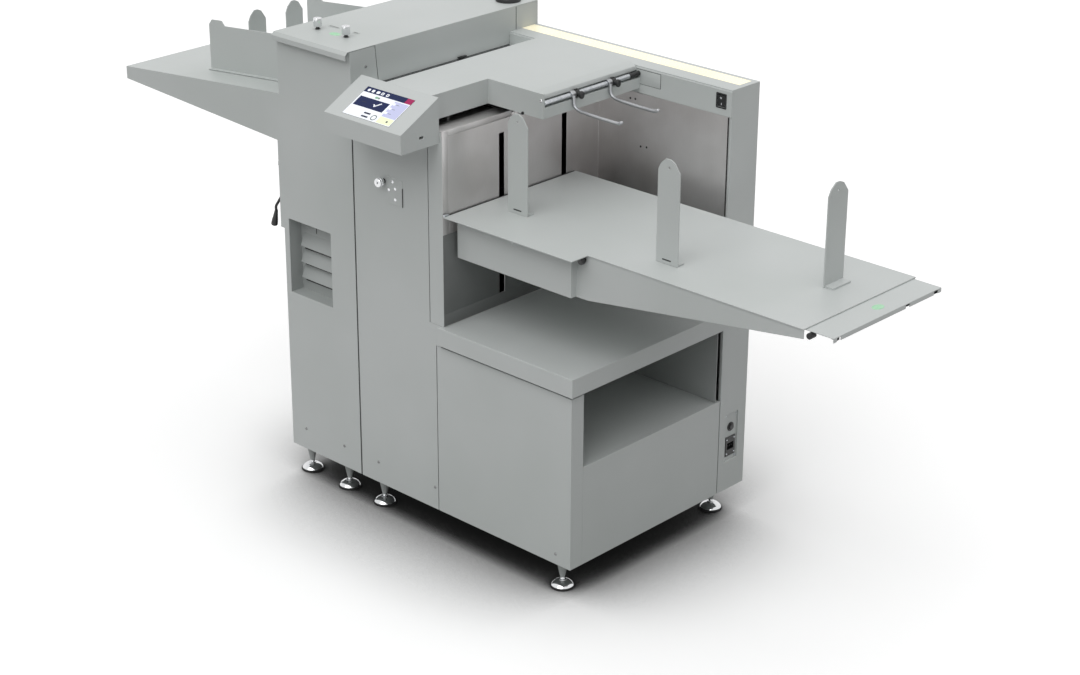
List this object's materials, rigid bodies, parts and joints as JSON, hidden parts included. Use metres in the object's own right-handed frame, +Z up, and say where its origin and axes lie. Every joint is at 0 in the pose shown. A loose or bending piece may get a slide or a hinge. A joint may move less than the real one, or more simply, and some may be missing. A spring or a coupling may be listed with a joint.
{
  "type": "paper creasing machine",
  "caption": "Floor-standing sheet creasing machine with a lifting feed table, suction feed head, touch console, creasing tower and sloped delivery table.",
  "frame": {"origin": "centre of the bounding box at floor level, under the feet", "axes": "+X towards the feed table, +Y towards the back of the machine, +Z up"},
  "size_m": [2.2932, 0.7736, 1.2368],
  "materials": {
    "panel_paint": "satin light grey powder coat",
    "panel_paint_dark": "satin grey powder coat",
    "stainless": "cloudy brushed stainless",
    "machined_steel": "machined",
    "chrome": "polished",
    "black_plastic": "satin",
    "black_rubber": "matte",
    "screen": "glossy panel",
    "diffuser": "translucent cream",
    "aluminium": "machined",
    "motor_paint": "satin dark grey"
  },
  "bodies": {
    "chassis": {"base_plate": "panel_paint_dark", "foot_front_left": "chrome", "foot_front_second": "chrome", "foot_front_third": "chrome", "foot_front_right": "chrome", "foot_rear_left": "chrome", "foot_rear_right": "chrome", "cabinet_front": "panel_paint", "cabinet_side": "panel_paint", "compartment_liner": "panel_paint_dark", "worktop": "panel_paint", "tower_left_front": "panel_paint", "vent_louvres": "panel_paint", "tower_centre_front": "panel_paint", "tower_corner_post": "panel_paint", "stainless_guides": "stainless", "tower_back_cover": "panel_paint", "rear_housing_cover": "panel_paint", "light_diffuser": "diffuser", "mains_inlet": "black_plastic", "console_housing": "panel_paint", "touch_screen": "screen", "bridge_cover": "panel_paint", "bridge_rod": "machined_steel", "side_frames": "machined_steel", "main_motor": "motor_paint", "drive_belt": "black_rubber", "vacuum_and_power_unit": "motor_paint", "lift_frame": "machined_steel", "delivery_table": "panel_paint", "lead_gland": "black_rubber", "hanging_lead": "black_rubber", "lead_connector": "black_plastic"},
    "breaker": {"breaker_button": "black_plastic"},
    "rocker": {"power_rocker": "black_plastic"},
    "lid": {"lid": "panel_paint"},
    "lid_knob_left": {"lid_knob_left": "chrome"},
    "lid_knob_right": {"lid_knob_right": "chrome"},
    "air_knob": {"air_knob": "chrome"},
    "blade": {"crease_blade": "machined_steel"},
    "cam": {"cam_shaft": "machined_steel"},
    "infeed_lower": {"infeed_roller_lower": "black_rubber"},
    "infeed_upper": {"infeed_roller_upper": "black_rubber"},
    "exit_roll": {"exit_roller": "black_rubber"},
    "drum": {"suction_drum": "aluminium"},
    "screw": {"lift_screw": "machined_steel"},
    "table": {"table_top": "panel_paint", "table_frame": "panel_paint", "table_carriage": "aluminium"},
    "extension": {"table_extension": "panel_paint"},
    "upright_left": {"front_upright_left": "panel_paint"},
    "upright_right": {"front_upright_right": "panel_paint"},
    "end_stop": {"end_stop": "panel_paint"},
    "delivery_front": {"delivery_guide_front": "panel_paint"},
    "delivery_rear": {"delivery_guide_rear": "panel_paint"},
    "stops": {"delivery_stops": "panel_paint"},
    "collar_front": {"front_finger_collar": "black_plastic"},
    "collar_rear": {"rear_finger_collar": "black_plastic"},
    "finger_front": {"front_finger": "machined_steel"},
    "finger_rear": {"rear_finger": "machined_steel"}
  },
  "joints": [
    {"name": "breaker_press", "type": "slide", "parent": "chassis", "child": "breaker", "axis": [-1, 0, 0], "range_m": [0, 0.003], "stiffness_N_per_m": 300},
    {"name": "rocker_tilt", "type": "hinge", "parent": "chassis", "child": "rocker", "pos_m": [0.44465, 0.2838, 1.115], "axis": [-1, 0, 0], "range_deg": [0, 15]},
    {"name": "lid_hinge", "type": "hinge", "parent": "chassis", "child": "lid", "pos_m": [-0.38435, 0.3868, 1.2065], "axis": [-1, 0, 0], "range_deg": [0, 80]},
    {"name": "lid_knob_left_turn", "type": "hinge", "parent": "lid", "child": "lid_knob_left", "pos_m": [-0.45235, -0.1862, 1.2085], "axis": [0, 0, 1], "range_deg": [0, 90]},
    {"name": "lid_knob_right_turn", "type": "hinge", "parent": "lid", "child": "lid_knob_right", "pos_m": [-0.34935, -0.1862, 1.2085], "axis": [0, 0, 1], "range_deg": [0, 90]},
    {"name": "air_knob_turn", "type": "hinge", "parent": "chassis", "child": "air_knob", "pos_m": [-0.14135, -0.2642, 0.9105], "axis": [0, 1, 0], "range_deg": [0, 270]},
    {"name": "blade_press", "type": "slide", "parent": "chassis", "child": "blade", "axis": [0, 0, 1], "range_m": [-0.01, 0], "stiffness_N_per_m": 4000, "springref_m": 0.02},
    {"name": "cam_turn", "type": "hinge", "parent": "chassis", "child": "cam", "pos_m": [-0.38435, -0.2642, 1.1448], "axis": [0, 1, 0], "range_deg": [0, 180]},
    {"name": "infeed_lower_turn", "type": "hinge", "parent": "chassis", "child": "infeed_lower", "pos_m": [-0.05935, -0.2642, 1.0476], "axis": [0, 1, 0], "continuous": true},
    {"name": "infeed_upper_turn", "type": "hinge", "parent": "chassis", "child": "infeed_upper", "pos_m": [-0.05935, -0.2642, 1.0824], "axis": [0, 1, 0], "continuous": true},
    {"name": "exit_turn", "type": "hinge", "parent": "chassis", "child": "exit_roll", "pos_m": [-0.46935, -0.2642, 1.0476], "axis": [0, 1, 0], "continuous": true},
    {"name": "drum_turn", "type": "hinge", "parent": "chassis", "child": "drum", "pos_m": [0.07665, -0.2642, 1.094], "axis": [0, 1, 0], "continuous": true},
    {"name": "table_lift", "type": "slide", "parent": "chassis", "child": "table", "axis": [0, 0, 1], "range_m": [-0.16, 0.16]},
    {"name": "screw_turn", "type": "hinge", "parent": "chassis", "child": "screw", "pos_m": [0.00565, 0.0458, 0.1743], "axis": [0, 0, 1], "range_deg": [-5761, 5761]},
    {"name": "extension_slide", "type": "slide", "parent": "table", "child": "extension", "axis": [1, 0, 0], "range_m": [0, 0.12]},
    {"name": "upright_left_slide", "type": "slide", "parent": "table", "child": "upright_left", "axis": [0, 1, 0], "range_m": [-0.07, 0.055]},
    {"name": "upright_right_slide", "type": "slide", "parent": "table", "child": "upright_right", "axis": [0, 1, 0], "range_m": [-0.07, 0.1]},
    {"name": "end_stop_slide", "type": "slide", "parent": "table", "child": "end_stop", "axis": [1, 0, 0], "range_m": [-0.25, 0.08]},
    {"name": "delivery_front_slide", "type": "slide", "parent": "chassis", "child": "delivery_front", "axis": [0, 1, 0], "range_m": [-0.07, 0.08]},
    {"name": "delivery_rear_slide", "type": "slide", "parent": "chassis", "child": "delivery_rear", "axis": [0, 1, 0], "range_m": [-0.045, 0.008]},
    {"name": "stops_slide", "type": "slide", "parent": "chassis", "child": "stops", "axis": [0.9954, 0, 0.0958], "range_m": [-0.24, 0.2]},
    {"name": "collar_front_slide", "type": "slide", "parent": "chassis", "child": "collar_front", "axis": [0, 1, 0], "range_m": [-0.06, 0.05]},
    {"name": "collar_rear_slide", "type": "slide", "parent": "chassis", "child": "collar_rear", "axis": [0, 1, 0], "range_m": [-0.05, 0.06]},
    {"name": "finger_front_swing", "type": "hinge", "parent": "collar_front", "child": "finger_front", "pos_m": [0.18705, 0.0376, 1.1285], "axis": [0, -1, 0], "range_deg": [0, 70]},
    {"name": "finger_rear_swing", "type": "hinge", "parent": "collar_rear", "child": "finger_rear", "pos_m": [0.18705, 0.167, 1.1285], "axis": [0, -1, 0], "range_deg": [0, 70]}
  ],
  "couplings": [
    {"joint": "cam_turn", "follows": "blade_press", "rad_per_m": -314.16},
    {"joint": "infeed_upper_turn", "follows": "infeed_lower_turn", "ratio": -1.4286},
    {"joint": "exit_turn", "follows": "infeed_lower_turn", "ratio": 1},
    {"joint": "screw_turn", "follows": "table_lift", "rad_per_m": 628.32}
  ]
}
